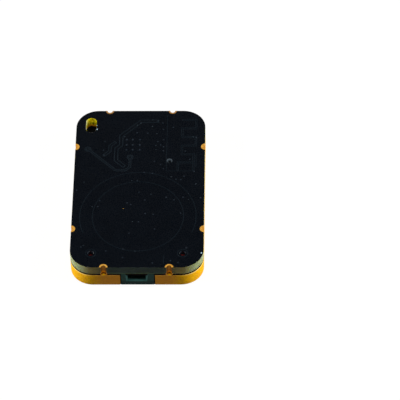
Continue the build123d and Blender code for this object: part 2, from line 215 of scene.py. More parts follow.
class Nodes:
    """A node tree, with short calls that add its nodes and feed their sockets."""

    def __init__(self, owner):
        owner.use_nodes = True
        self.tree = owner.node_tree

    def feed(self, socket, value):
        """Links an output to a socket, or sets a number, a vector or a colour on it."""
        if isinstance(value, bpy.types.NodeSocket):
            self.tree.links.new(value, socket)
        elif socket.type == "RGBA":
            socket.default_value = (*value, 1.0)
        else:
            socket.default_value = value

    def add(self, kind, settings=None, **sockets):
        """Adds a node, sets its properties, and feeds the sockets that are named."""
        node = self.tree.nodes.new(kind)
        for key, value in (settings or {}).items():
            setattr(node, key, value)
        for key, value in sockets.items():
            self.feed(node.inputs[key.replace("_", " ")], value)
        return node

    def combine(self, operation, first, second):
        """Joins two values by an operation, such as MULTIPLY."""
        node = self.add("ShaderNodeMath", {"operation": operation})
        self.feed(node.inputs[0], first)
        self.feed(node.inputs[1], second)
        return node.outputs[0]

    def between(self, source, low, high, start=0.3, stop=0.7, kind="SMOOTHSTEP"):
        """Maps a value from start to stop onto low to high. Most of a noise is from 0.3 to 0.7."""
        node = self.add("ShaderNodeMapRange", {"interpolation_type": kind}, Value=source)
        for key, value in (("From Min", start), ("From Max", stop), ("To Min", low), ("To Max", high)):
            self.feed(node.inputs[key], value)
        return node.outputs[0]

    def blend(self, share, first, second):
        """Mixes two colours, each a colour or an output, by a share.

        The Mix node's colours are its inputs 6 and 7, and its output 2.
        """
        node = self.add("ShaderNodeMix", {"data_type": "RGBA"})
        self.feed(node.inputs[0], share)
        self.feed(node.inputs[6], first)
        self.feed(node.inputs[7], second)
        return node.outputs[2]

    def mixed(self, share, first, second):
        """Mixes two shaders by a share, a number or an output."""
        node = self.add("ShaderNodeMixShader")
        self.feed(node.inputs[0], share)
        self.feed(node.inputs[1], first)
        self.feed(node.inputs[2], second)
        return node.outputs[0]


class Finish(Nodes):
    """A material on a Principled shader, whose tones are placed by the object's own coordinates."""

    def __init__(self, name, settings):
        self.material = bpy.data.materials.new(name)
        super().__init__(self.material)
        self.shader = self.tree.nodes["Principled BSDF"]
        self.place = self.add("ShaderNodeTexCoord").outputs["Object"]
        for socket, value in settings.items():
            self.give(socket, value)

    def give(self, socket, value):
        """Feeds a socket of the shader."""
        self.feed(self.shader.inputs[socket], value)

    def stretched(self, sizes):
        """Gives object coordinates with each axis divided by its size in millimetres."""
        node = self.add("ShaderNodeVectorMath", {"operation": "MULTIPLY"})
        self.feed(node.inputs[0], self.place)
        self.feed(node.inputs[1], [1 / (size * mm) for size in sizes])
        return node.outputs[0]

    def noise(self, grain, detail=2.0, rough=0.5):
        """Gives noise with grains of that size, or of three sizes along the axes."""
        place = self.stretched(grain if isinstance(grain, tuple) else (grain, grain, grain))
        node = self.add("ShaderNodeTexNoise", Vector=place, Scale=1.0, Detail=detail, Roughness=rough)
        return node.outputs[0]

    def spots(self, spacing, size):
        """Gives 1 in round spots of that size, scattered at that spacing, and 0 between them."""
        place = self.stretched((spacing, spacing, spacing))
        cells = self.add("ShaderNodeTexVoronoi", Vector=place, Scale=1.0, Randomness=1.0)
        reach = size / spacing / 2
        return self.between(cells.outputs["Distance"], 1.0, 0.0, reach * 0.6, reach)

    def along(self, axis):
        """Gives the place along an axis, in metres."""
        return self.add("ShaderNodeSeparateXYZ", Vector=self.place).outputs[axis]

    def off_middle(self, axis):
        """Gives the distance along an axis from the tag's middle, in metres."""
        return self.add("ShaderNodeMath", {"operation": "ABSOLUTE"}, Value=self.along(axis)).outputs[0]

    def over(self, place, start, stop, low=0.0, high=1.0):
        """Goes from low to high as a place goes from start to stop, both in millimetres."""
        return self.between(place, low, high, start * mm, stop * mm)

    def shaded(self, colour, level):
        """Gives a colour with its brightness times that level."""
        return self.add("ShaderNodeHueSaturation", Color=colour, Value=level).outputs[0]

    def bump(self, *layers):
        """Bumps the surface by layers, each a source and a height in millimetres."""
        normal = None
        for source, height in layers:
            node = self.add("ShaderNodeBump", Height=source, Distance=height * mm, Strength=1.0)
            if normal:
                self.feed(node.inputs["Normal"], normal)
            normal = node.outputs[0]
        self.give("Normal", normal)


def moulded(name, dark, light, rough, grain, depth, specular=0.5, foot=1.0):
    """A moulded plastic or ceramic: mottled colour and grained surface.

    Its lowest millimetre has the brightness foot, a painted shade where foot is below 1.
    """
    finish = Finish(name, {"Specular IOR Level": specular})
    mottle = finish.noise(grain * 6, detail=4.0)
    fine = finish.noise(grain, detail=2.0)
    colour = finish.blend(finish.between(mottle, 0.0, 1.0), dark, light)
    # Painted shade: darker below 1 to 1.4 mm from the bottom
    if foot < 1.0:
        colour = finish.shaded(colour, finish.over(finish.along("Z"), 1.0, 1.4, foot, 1.0))
    finish.give("Base Color", colour)
    finish.give("Roughness", finish.between(fine, rough - 0.07, rough + 0.07))
    finish.bump((fine, depth), (mottle, depth * 2))
    return finish.material


def metal(name, dark, light, rough, grain, depth, shine=1.0, stain_size=1.3):
    """A metal: stained by a soft mottle, with a grain that may be drawn out along an axis."""
    finish = Finish(name, {"Metallic": shine})
    stain = finish.noise(stain_size, detail=3.0)
    fine = finish.noise(grain, detail=3.0)
    finish.give("Base Color", finish.blend(finish.between(stain, 0.0, 1.0), dark, light))
    finish.give("Roughness", finish.between(fine, rough - 0.08, rough + 0.08))
    finish.bump((fine, depth))
    return finish.material


def yellow_plastic():
    """Yellow moulding with darker specks, painted shade amid the end walls and a painted highlight along
    its upper edge.
    """
    finish = Finish("yellow_plastic", {"Specular IOR Level": 0.025})
    mottle = finish.noise(0.7, detail=4.0)
    grain = finish.noise(0.13, detail=3.0, rough=0.65)
    clean = finish.blend(finish.between(mottle, 0.0, 1.0), (0.81, 0.395, 0.006), (0.94, 0.505, 0.002))
    # Painted shade: a duller colour on the end walls, within 6.5 to 9.8 mm of the middle
    past_painted_shade = finish.over(finish.off_middle("X"), 6.5, 9.8)
    off_ends = finish.over(finish.off_middle("Y"), end - 0.5, end - 0.1, 1.0, 0.0)
    painted_shade_amid_ends = finish.blend(finish.combine("MAXIMUM", past_painted_shade, off_ends), (0.68, 0.28, 0.028), clean)
    specks = finish.between(finish.noise(0.3, detail=3.0, rough=0.6), 0.0, 0.7, 0.46, 0.68)
    specked = finish.blend(specks, painted_shade_amid_ends, (0.55, 0.22, 0.03))
    # Painted highlight: a pale cream band along the upper edge, strongest near the corners
    near_rim = finish.over(finish.along("Z"), housing_rim - 0.26, housing_rim - 0.1)
    near_corners = finish.over(finish.off_middle("X"), 8.5, 11.5, 0.1, 1.0)
    painted_highlight_band = finish.combine("MULTIPLY", near_rim, near_corners)
    finish.give("Base Color", finish.blend(painted_highlight_band, specked, (1.0, 0.7, 0.2)))
    finish.give("Roughness", finish.between(grain, 0.5, 0.68))
    finish.bump((grain, 0.03), (mottle, 0.02))
    return finish.material


def contact_gold():
    """Satin gold plating with a soft stain, and painted shade that makes it browner towards the tag's far
    end.
    """
    finish = Finish("gold", {"Metallic": 0.5})
    fine = finish.noise(0.1, detail=3.0)
    stain = finish.between(finish.noise(1.3, detail=3.0), 0.0, 1.0)
    clean = finish.blend(stain, (0.74, 0.36, 0.045), (0.85, 0.46, 0.08))
    # Painted shade: browner from 12 to 20 mm towards the far end
    painted_shade_far = finish.over(finish.along("Y"), 12.0, 20.0)
    finish.give("Base Color", finish.blend(painted_shade_far, clean, (0.46, 0.24, 0.07)))
    finish.give("Roughness", finish.between(fine, 0.5, 0.66))
    finish.bump((fine, 0.004))
    return finish.material


def barrel_gold(name, low, high, marks):
    """Plating on the drilled wall of a half-hole, its colour going from low to high up the wall as painted
    shade and painted reflection.
    """
    finish = Finish(name, {"Metallic": 1.0})
    # Painted shade and reflection: the colour goes from low at the wall's foot to high at its top
    painted_shading_up_wall = finish.over(finish.along("Z"), board_bottom - 0.3, board_bottom + 0.7)
    drill_marks = finish.noise((0.5, 0.5, 0.06), detail=3.0)
    colour = finish.blend(painted_shading_up_wall, low, high)
    finish.give("Base Color", finish.blend(finish.between(drill_marks, 0.0, 0.3), colour, marks))
    finish.give("Roughness", finish.between(drill_marks, 0.5, 0.65))
    finish.bump((drill_marks, 0.006))
    return finish.material


def laminate(name, dark, amber, light, glow, shade, share, light_from, light_to):
    """Glass-fibre laminate: translucent, with its plies as fine bands on a cut edge.

    Painted light and shade: its colour goes from dark amid the board's width, by amber, to light, where
    more light gets in.
    That stretch is from light_from to light_to off the middle. Glow is how far each colour spreads.
    """
    finish = Finish(name, {
        "Subsurface Weight": share,
        "Subsurface Radius": glow,
        "Subsurface Scale": mm,
        "Specular IOR Level": 0.05,
    })
    from_middle = finish.off_middle("X")
    # Painted shade amid the board's width, giving way by amber to painted light towards its sides
    past_painted_shade = finish.over(from_middle, 5.0, 9.3)
    painted_light_share = finish.over(from_middle, light_from, light_to)
    plies = finish.noise((1.6, 1.6, 0.11), detail=3.0)
    fibres = finish.noise((0.12, 0.12, 0.05), detail=2.0)
    tone = finish.blend(painted_light_share, finish.blend(past_painted_shade, dark, amber), light)
    shadow = finish.shaded(tone, shade)
    banded = finish.blend(finish.between(plies, 0.0, 0.6), tone, shadow)
    finish.give("Base Color", finish.blend(finish.between(fibres, 0.0, 0.5, 0.5, 0.8), banded, shadow))
    finish.give("Roughness", finish.between(plies, 0.42, 0.6))
    finish.bump((plies, 0.012), (fibres, 0.006))
    return finish.material


def solder_mask(name, dark, light):
    """Black lacquer over copper and laminate, with a slight orange peel and a little dust."""
    finish = Finish(name, {"Specular IOR Level": 0.25})
    cloud = finish.noise(3.5, detail=4.0)
    peel = finish.noise(0.35, detail=2.0)
    dust = finish.between(finish.spots(1.9, 0.09), 0.0, 0.25, 0.0, 1.0)
    colour = finish.blend(finish.between(cloud, 0.0, 1.0), dark, light)
    finish.give("Base Color", finish.blend(dust, colour, (0.05, 0.06, 0.07)))
    finish.give("Roughness", finish.between(peel, 0.27, 0.36))
    finish.bump((peel, 0.004))
    return finish.material


# The finish of each material slot. After a name and two colours come roughness, grain and its depth
materials = {
    "yellow_housing": yellow_plastic(),
    "black_gasket": moulded(
        "gasket_foam", (0.004, 0.003, 0.003), (0.009, 0.006, 0.005), 0.85, 0.08, 0.01, specular=0.03
    ),
    "black_rubber": moulded(
        "liner_rubber", (0.003, 0.003, 0.003), (0.006, 0.006, 0.006), 0.85, 0.1, 0.008, specular=0.05
    ),
    # Painted light and shade on the laminate's cut edge: dark amid the width, light near the sides
    "masked_laminate": laminate(
        "laminate", dark=(0.031, 0.055, 0.04), amber=(0.28, 0.22, 0.065), light=(0.3, 0.35, 0.165),
        glow=(1.2, 1.1, 0.4), shade=0.6, share=1.0, light_from=9.0, light_to=12.0
    ),
    "gold_plating": contact_gold(),
    "masked_copper": solder_mask("mask_on_copper", (0.0007, 0.0015, 0.003), (0.0011, 0.0021, 0.0039)),
    # The holder's plastic: foot=0.45 paints shade on its lowest millimetre
    "black_plastic": moulded(
        "holder_plastic", (0.015, 0.044, 0.037), (0.023, 0.06, 0.05), 0.5, 0.12, 0.008,
        specular=0.05, foot=0.45
    ),
    "nickel_spring": metal("nickel", (0.5, 0.47, 0.42), (0.66, 0.63, 0.58), 0.28, (1.6, 0.04, 0.4), 0.002),
    "cell_steel": metal(
        "steel", (0.52, 0.54, 0.57), (0.6, 0.62, 0.65), 0.27, (0.05, 3.0, 1.2), 0.0008, stain_size=4.0
    ),
    "seal_plastic": moulded("nylon", (0.008, 0.008, 0.01), (0.015, 0.015, 0.018), 0.5, 0.1, 0.004),
    "cathode_powder": moulded("powder", (0.004, 0.004, 0.004), (0.02, 0.02, 0.02), 0.9, 0.06, 0.03),
    "separator_felt": moulded("felt", (0.6, 0.6, 0.56), (0.85, 0.85, 0.82), 0.9, 0.15, 0.04, specular=0.2),
    "anode_metal": metal("anode", (0.35, 0.35, 0.36), (0.55, 0.55, 0.57), 0.5, 0.3, 0.01),
    "chip_plastic": moulded(
        "moulding_compound", (0.006, 0.006, 0.007), (0.014, 0.014, 0.015), 0.6, 0.08, 0.008
    ),
    "tinned_leads": metal("tin", (0.5, 0.5, 0.5), (0.68, 0.68, 0.67), 0.4, 0.12, 0.005),
    "crystal_case": metal(
        "crystal_lid", (0.5, 0.45, 0.34), (0.66, 0.6, 0.47), 0.3, (0.5, 0.05, 0.3), 0.002
    ),
    "capacitor_ceramic": moulded("tan_ceramic", (0.3, 0.19, 0.1), (0.42, 0.28, 0.16), 0.45, 0.08, 0.004),
    "resistor_ceramic": moulded(
        "coated_ceramic", (0.006, 0.006, 0.008), (0.015, 0.015, 0.018), 0.35, 0.1, 0.004
    ),
    "matching_ceramic": moulded("white_ceramic", (0.6, 0.63, 0.68), (0.78, 0.8, 0.84), 0.4, 0.08, 0.004),
    "ferrite": moulded("ferrite_body", (0.045, 0.042, 0.04), (0.085, 0.08, 0.075), 0.55, 0.1, 0.01),
}

# Finishes of single pieces and faces
mask = solder_mask("mask", (0.0006, 0.0014, 0.003), (0.001, 0.002, 0.0039))
mask_on_gap = solder_mask("mask_on_gap", (0.005, 0.009, 0.013), (0.0072, 0.0113, 0.016))
mask_on_edge = solder_mask("mask_on_edge", (0.0034, 0.0066, 0.01), (0.0046, 0.0083, 0.0123))
mask_on_via = solder_mask("mask_on_via", (0.008, 0.0125, 0.0185), (0.013, 0.019, 0.028))
# Dull bluish tin of the small vias: painted glints
via_glint_tin = metal("via_glint_tin", (0.1, 0.14, 0.18), (0.16, 0.21, 0.26), 0.4, 0.12, 0.005)
hole_tin = metal("hole_tin", (0.052, 0.07, 0.088), (0.088, 0.115, 0.14), 0.35, 0.12, 0.005, shine=0.6)
# Pale blue of the mask's chips: fibre colour with a painted glint
chip_fibre_glint = moulded("chip_fibre_glint", (0.38, 0.58, 0.7), (0.48, 0.68, 0.8), 0.5, 0.08, 0.002)
# Dark bluish grey of the peg holes' walls: the resin with a painted glint in its blue
drilled_resin_glint = moulded("drilled_resin_glint", (0.018, 0.026, 0.038), (0.03, 0.042, 0.06), 0.5, 0.1, 0.01)
peg_tip = moulded("peg_tip", (0.1, 0.008, 0.008), (0.14, 0.014, 0.014), 0.6, 0.1, 0.01)
# Painted highlight: a lighter copy of the holder's plastic for the slanted edges of its notch
notch_edge_highlight = moulded(
    "notch_edge_highlight", (0.026, 0.085, 0.078), (0.036, 0.11, 0.1), 0.45, 0.12, 0.008, specular=0.1
)
# Painted shade: a darker copy of the housing's yellow, for the band in the slot
painted_shade_band_yellow = moulded(
    "painted_shade_band_yellow", (0.5, 0.24, 0.004), (0.62, 0.31, 0.003), 0.6, 0.13, 0.01, specular=0.03
)
# Painted light: a brighter copy of the housing's yellow for the domes in the half-holes
painted_lit_yellow = moulded(
    "painted_lit_yellow", (0.9, 0.5, 0.002), (0.98, 0.6, 0.004), 0.5, 0.13, 0.004, specular=0.03
)
# Painted shade and reflection: the end barrels bright at the foot and dark at the top, the side barrels a
# lit copy, brighter at the top
shaded_end_barrel_gold = barrel_gold(
    "shaded_end_barrel_gold", low=(0.8, 0.3, 0.002), high=(0.16, 0.06, 0.008), marks=(0.36, 0.17, 0.02)
)
lit_side_barrel_gold = barrel_gold(
    "lit_side_barrel_gold", low=(0.35, 0.12, 0.004), high=(0.7, 0.34, 0.04), marks=(0.8, 0.45, 0.08)
)
# Painted light: a much brighter copy of the laminate for the slot's walls, its left wall paler still as a
# painted highlight
painted_lit_slot_wall = laminate(
    "painted_lit_slot_wall", dark=(0.74, 0.6, 0.006), amber=(0.74, 0.6, 0.006), light=(1.0, 0.9, 0.2),
    glow=(9.0, 7.5, 0.3), shade=0.9, share=0.8, light_from=11.2, light_to=11.62
)


def sideways(path):
    """The way to the left of each point of a path, longer at corners, so that both sides stay parallel."""
    closed = path[0] == path[-1]
    ways = [(Vector(after) - Vector(before)).normalized() for before, after in zip(path, path[1:])]
    arriving = [ways[-1] if closed else ways[0]] + ways
    leaving = ways + [ways[0] if closed else ways[-1]]
    found = []
    for before, after in zip(arriving, leaving):
        along = (before + after).normalized()
        found.append(Vector((-along.y, along.x)) / max(0.5, along.dot(before)))
    return found


def beside(path, offset):
    """A path moved to its left by an offset."""
    return [tuple(Vector(point) + across * offset) for point, across in zip(path, sideways(path))]


def arc(centre, radius, start, stop, steps):
    """Points on an arc, with both ends, angles in degrees."""
    angles = [math.radians(start + (stop - start) * step / steps) for step in range(steps + 1)]
    return [(centre[0] + radius * math.cos(a), centre[1] + radius * math.sin(a)) for a in angles]


class Shape:
    """Points in millimetres and the faces between them."""

    def __init__(self):
        self.points, self.faces = [], []

    def strips(self, rows, closed_rows=False, closed_points=False, ends=False):
        """Joins rows of points, each to the next one, by quads."""
        first, width, count = len(self.points), len(rows[0]), len(rows)
        for row in rows:
            self.points += row
        for i in range(count if closed_rows else count - 1):
            a, b = first + i * width, first + (i + 1) % count * width
            for j in range(width if closed_points else width - 1):
                k = (j + 1) % width
                self.faces.append((a + j, a + k, b + k, b + j))
        if ends:
            self.faces.append(tuple(range(first, first + width)))
            self.faces.append(tuple(range(first + (count - 1) * width, first + count * width)))

    def lathe(self, centre, profile, start=0, stop=360, steps=96, closed=False):
        """Turns a profile of (radius, height) about an upright axis, closed: the profile is a loop."""
        full = stop - start == 360
        rows = []
        for step in range(steps if full else steps + 1):
            angle = math.radians(start + (stop - start) * step / steps)
            c, s = math.cos(angle), math.sin(angle)
            rows.append([(centre[0] + r * c, centre[1] + r * s, z) for r, z in profile])
        self.strips(rows, closed_rows=full, closed_points=closed, ends=closed and not full)

    def ribbon(self, path, width, low, high):
        """A low ridge with sloping sides along a path, closed where the path ends as it starts."""
        half, slope = width / 2, high - low
        section = ((-half, low), (slope - half, high), (half - slope, high), (half, low))
        rows = []
        for point, across in zip(path, sideways(path)):
            rows.append([(point[0] + across.x * o, point[1] + across.y * o, z) for o, z in section])
        closed = path[0] == path[-1]
        self.strips(rows[:-1] if closed else rows, closed_rows=closed, ends=not closed)

    def box(self, low, high):
        """A plain box, for a piece whose edges a modifier rounds."""
        corners = [(low[0], low[1]), (high[0], low[1]), (high[0], high[1]), (low[0], high[1])]
        rows = [[(x, y, z) for x, y in corners] for z in (low[2], high[2])]
        self.strips(rows, closed_points=True, ends=True)

    def plate(self, loops, low, high, slope):
        """A sheet with holes and sloping upper edges. Each loop is a function of its inset."""
        tops, numbers = [], []
        for loop in loops:
            levels = ((0, low), (0, high - slope), (slope, high))
            rows = [[(x, y, z) for x, y in loop(inset)] for inset, z in levels]
            self.strips(rows, closed_points=True)
            count = len(rows[0])
            numbers += range(len(self.points) - count, len(self.points))
            tops.append([Vector(point) for point in rows[-1]])
        self.faces += [tuple(numbers[i] for i in triangle) for triangle in tessellate_polygon(tops)]


def piece(name, shape, material, body, sharp=30.0):
    """Makes an object of a shape, smooth but for edges sharper than that angle."""
    mesh = bpy.data.meshes.new(name)
    mesh.from_pydata([[value * mm for value in point] for point in shape.points], [], shape.faces)
    work = bmesh.new()
    work.from_mesh(mesh)
    bmesh.ops.recalc_face_normals(work, faces=work.faces)
    work.to_mesh(mesh)
    work.free()
    mesh.materials.append(material)
    mesh.shade_smooth()
    mesh.set_sharp_from_angle(angle=math.radians(sharp))
    made = bpy.data.objects.new(name, mesh)
    bpy.context.scene.collection.objects.link(made)
    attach(made, body)
    return made


def soften(item, width):
    """Rounds an object's sharp edges by a small radius."""
    weld = item.modifiers.new("weld", "WELD")
    weld.merge_threshold = 0.0005 * mm
    bevel = item.modifiers.new("bevel", "BEVEL")
    bevel.width = width * mm
    bevel.segments = 2
    bevel.limit_method = "ANGLE"
    bevel.angle_limit = math.radians(40)
    bevel.harden_normals = True
    bevel.use_clamp_overlap = True


def board_outline(bite, drawn_in):
    """The board's outline drawn in, with a round bite at each half-hole."""
    half = math.degrees(math.acos(drawn_in / bite))
    points = []
    for number, (centre, inward) in enumerate(half_holes):
        points += arc(centre, bite, inward + half, inward - half, 20)
        if number % 2:
            turn = 90 * (number // 2) - 90
            middle = math.radians(turn + 45)
            x = math.copysign(side - corner_radius, math.cos(middle))
            y = math.copysign(end - corner_radius, math.sin(middle))
            points += arc((x, y), corner_radius - drawn_in, turn, turn + 90, 20)
    return points


def mask_outline(inset):
    """The mask's outline: it stops short of the board's edge and of the rings."""
    return board_outline(ring_radius + mask_margin + inset, mask_margin + inset)


def slot_loop(inset):
    """The slot's outline, made larger by inset."""
    radius = slot_width / 2 + inset
    straight = (slot_length - slot_width) / 2
    loop = arc((slot_x, slot_y + straight), radius, 0, 180, 20)
    return loop + arc((slot_x, slot_y - straight), radius, 180, 360, 20)


def mask_slot(inset):
    """The mask's hole over the slot, drawn back a little, so that a rim of laminate shows."""
    return slot_loop(slot_bare_rim + inset)


def mask_hole(x, y, radius):
    """The mask's hole over a round hole, as a function of how far it is drawn in."""
    return lambda inset: arc((x, y), radius + mask_margin + inset, 0, 360, 32)[:-1]


def make_mask():
    """The lacquer on the board's top."""
    loops = [mask_outline, mask_slot]
    loops += [mask_hole(x, peg_y, peg_hole_radius) for x in (-peg_x, peg_x)]
    loops.append(mask_hole(post_x, post_y, post_hole_radius))
    shape = Shape()
    shape.plate(loops, board_top, mask_top, mask_slope)
    piece("solder_mask", shape, mask, "tag")


def contact_profile():
    """A section of the plating, from the lower lip out round both rings and back to the upper lip."""
    inner, outer = half_hole_radius, half_hole_radius + plating
    low, high = board_bottom - copper, board_top + copper
    bend = [(lip * (1 - math.cos(angle)), lip * (1 - math.sin(angle))) for angle in quarter_turn]
    lower_lip = [(inner + out, board_bottom - collar + up) for out, up in bend]
    lower_ring = [(outer + collar_spread, low), (ring_radius - ring_slope, low)]
    lower_ring += [(ring_radius, board_bottom - 0.01), (ring_radius, board_bottom)]
    wall = [(outer, board_bottom), (outer, board_top)]
    upper_ring = [(ring_radius, board_top), (ring_radius, mask_top - 0.01)]
    upper_ring += [(ring_radius - ring_slope, high)]
    upper_lip = [(inner + out, high - up) for out, up in reversed(bend)]
    return lower_lip + lower_ring + wall + upper_ring + upper_lip


def make_contacts():
    """Plated half-holes: a ring on each side of the board, a collar of solder below and rounded lips."""
    shape = Shape()
    for centre, inward in half_holes:
        shape.lathe(centre, contact_profile(), inward - 90, inward + 90, steps=32, closed=True)
    made = piece("plated_half_holes", shape, materials["gold_plating"], "tag", sharp=40)
    made.data.materials.append(shaded_end_barrel_gold)
    made.data.materials.append(lit_side_barrel_gold)
    for polygon in made.data.polygons:
        place = polygon.center.xy / mm
        off_axis, inward = min(((place - Vector(centre)).length, inward) for centre, inward in half_holes)
        # Painted light and shade: end barrels get the shaded gold, side barrels the lit gold
        if abs(polygon.normal.z) < 0.3 and off_axis < half_hole_radius + plating + collar_spread:
            polygon.material_index = 1 if inward in (90, 270) else 2
    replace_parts(made, "edge_contacts")


def make_gasket_bead():
    """The gasket's foam, squeezed out a little between the board and the housing.

    Its section goes down from the board, each point an inset from the board's edge and a drop.
    """
    shape = Shape()
    section = ((0.16, 0.04), (0.09, 0.05), (0.05, 0.12), (0.03, 0.36), (0.015, 0.44), (0.03, 0.48))
    rows = []
    for inset, drop in section:
        rows.append([(x, y, board_bottom - drop) for x, y in board_outline(bead_bite + inset, inset)])
    shape.strips(rows, closed_points=True)
    piece("gasket_bead", shape, materials["black_gasket"], "tag", sharp=80)


def make_rim_pips():
    """Low domes on the housing's rim, one at the foot of each half-hole, in a brighter yellow as painted
    light.
    """
    shape = Shape()
    foot = housing_rim - 0.02
    profile = [(tiny, foot), (pip_radius, foot), (pip_radius, housing_rim + pip_height * 0.4)]
    profile += [(pip_radius * 0.7, housing_rim + pip_height * 0.85), (tiny, housing_rim + pip_height)]
    for centre, inward in half_holes:
        shape.lathe(centre, profile, inward - 90, inward + 90, steps=24, closed=True)
    piece("rim_pips", shape, painted_lit_yellow, "tag", sharp=60)


def make_vias():
    """Vias filled over by the mask, low domes with a dimple, and smaller ones of dull bluish tin that
    paints their glints.
    """
    kinds = [
        ("heat_vias", heat_vias, 0.2, mask_on_via, "masked_laminate"),
        ("tented_vias", vias, 0.16, mask_on_via, "masked_laminate"),
        ("glint_vias", glint_vias, 0.12, via_glint_tin, "tinned_leads"),
        ("copper_speck", [copper_speck], 0.075, materials["gold_plating"], "gold_plating"),
    ]
    for name, places, radius, material, slot in kinds:
        shape = Shape()
        dome = [(radius, mask_top), (radius * 0.75, via_top), (radius * 0.45, via_top), (tiny, dimple_top)]
        for place in places:
            shape.lathe(place, dome, steps=16)
        piece(name, shape, material, "tag", sharp=60)


def rims(node):
    """Loops round the top faces of a flat node, in millimetres."""
    mesh = frame["nodes"][node].data
    top = max(vertex.co.z for vertex in mesh.vertices)
    places = [tuple(round(value / mm, 3) for value in vertex.co.xy) for vertex in mesh.vertices]
    steps = set()
    for polygon in mesh.polygons:
        if min(mesh.vertices[i].co.z for i in polygon.vertices) > top - 0.001 * mm:
            corners = [places[i] for i in polygon.vertices]
            steps |= set(zip(corners, corners[1:] + corners[:1]))
    follow = {first: second for first, second in steps if (second, first) not in steps}
    loops = []
    while follow:
        first = point = next(iter(follow))
        loop = []
        while point in follow:
            loop.append(point)
            point = follow.pop(point)
        loops.append(loop + [first])
    return loops


def make_tracks():
    """Tracks under the mask, which show by the lines where their copper ends."""
    outlines = (("signal_tracks", 0.17, mask_on_gap), ("antenna_track", 0.13, mask_on_edge))
    for node, width, material in outlines:
        shape = Shape()
        for path in rims(node):
            shape.ribbon(beside(path, 0.03), width, relief_foot, relief_top)
        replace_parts(piece(node + "_outline", shape, material, "tag"), node)


def make_relief():
    """Gaps in the copper under the mask: round the cell and the pegs, and at the ground copper's edges."""
    shape = Shape()
    rings = [arc((0, cell_y), cell_ring_radius, 0, 360, 160)]
    rings.append(arc((0, cell_y), cell_arc_radius, -22, 202, 120))
    rings += [arc((x, peg_y), peg_ring_radius, 0, 360, 32) for x in (-peg_x, peg_x)]
    for paths, width in ((rings, 0.14), (ground_edges, 0.12)):
        for path in paths:
            shape.ribbon(path, width, relief_foot, relief_top)
    piece("copper_relief", shape, mask_on_edge, "tag")


def make_chips_in_mask():
    """Small chips at the mask's edge, where fibre shows in a pale blue that is a painted glint: two beside
    the slot and one at a corner.
    """
    shape = Shape()
    slot_side = slot_x + slot_width / 2 + 0.02

    def section(share):
        return [(tiny * share, via_top), (0.12 * share, via_top), (0.2 * share, mask_top)]

    for y, share in slot_chips:
        shape.lathe((slot_side, y), section(share), -80, 80, steps=10)
    shape.lathe(corner_chip, section(corner_chip_share), steps=12)
    piece("mask_chips", shape, chip_fibre_glint, "tag", sharp=80)


def make_hole_plating():
    """Tin that narrows the mouth of the third hole to a pit, with a black fill in it over the housing's
    post as painted shade.
    """
    r = post_hole_radius
    funnel = [(r + 0.01, mask_top), (r, mask_top)]
    funnel += [(r - 0.12, board_top - 0.1), (r - 0.28, board_top - 0.4), (r - 0.35, shade_fill_top - 0.02)]
    # Painted shade: a black fill over the post darkens the hole
    glue = [(r - 0.33, shade_fill_top), (r * 0.3, shade_fill_top + 0.03), (tiny, shade_fill_top + 0.05)]
    shape = Shape()
    shape.lathe((post_x, post_y), funnel, steps=48)
    piece("hole_plating", shape, hole_tin, "tag", sharp=80)
    shape = Shape()
    shape.lathe((post_x, post_y), glue, steps=48)
    piece("peg_shade_fill", shape, materials["black_gasket"], "tag", sharp=80)


def make_slot_band():
    """A band of the housing's plastic between the board and the slot's liner, in a darker yellow as
    painted shade.
    """
    shape = Shape()
    section = ((0.02, 0.01), (-0.01, 0.02), (-0.01, band_height - 0.02), (0.02, band_height))
    rows = [[(x, y, board_bottom - drop) for x, y in slot_loop(inset)] for inset, drop in section]
    shape.strips(rows, closed_points=True)
    piece("slot_band", shape, painted_shade_band_yellow, "tag", sharp=80)


def make_joint():
    """Glue that fills the joint on each side of the holder's nose."""
    shape = Shape()
    front, back = 0.1 - end, 1.2 - end
    low, high = 0.02, board_bottom - 0.2
    for sign in (-1, 1):
        reaches = (nose_width / 2 - 0.01, nose_width / 2 + nose_gap + 0.01)
        left, right = sorted(nose_middle + sign * reach for reach in reaches)
        shape.box((left, front, low), (right, back, high))
    soften(piece("joint_glue", shape, materials["black_gasket"], "tag"), 0.02)


def hatch_height(x, y):
    """How far a point of the embossed face stands up, from 0 in a dimple to 1 on a ridge."""
    u = (x * math.cos(hatch_turn) + y * math.sin(hatch_turn)) / hatch_pitch
    v = (y * math.cos(hatch_turn) - x * math.sin(hatch_turn)) / hatch_pitch
    return max(abs(math.cos(math.pi * u)), abs(math.cos(math.pi * v))) ** 4


def make_cap():
    """The cell's cap with its bent rim and its embossed face."""
    cap_radius = cap_high.x
    face_radius = cap_radius - cap_rim
    steps, rings = 256, 64
    face = cap_high.z - 0.001
    axis, bend_z = cap_radius - cap_bend, cap_high.z - cap_bend
    profile = [(cap_radius, cap_low.z), (cap_radius, bend_z)]
    profile += [(axis + cap_bend * math.cos(a), bend_z + cap_bend * math.sin(a)) for a in quarter_turn]
    profile += [(face_radius, face)]
    shape = Shape()
    shape.lathe((0, cell_y), profile, steps=steps)
    rows = []
    for step in range(steps):
        angle = math.tau * step / steps
        row = []
        for ring in range(rings + 1):
            r = max(face_radius * ring / rings, tiny)
            x, y = r * math.cos(angle), r * math.sin(angle)
            fade = min(1.0, (face_radius - r) / hatch_fade)
            row.append((x, cell_y + y, face - hatch_depth * fade * (1 - hatch_height(x, y))))
        rows.append(row)
    shape.strips(rows, closed_rows=True)
    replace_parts(piece("embossed_cap", shape, materials["cell_steel"], "cell"), "cell_cap")


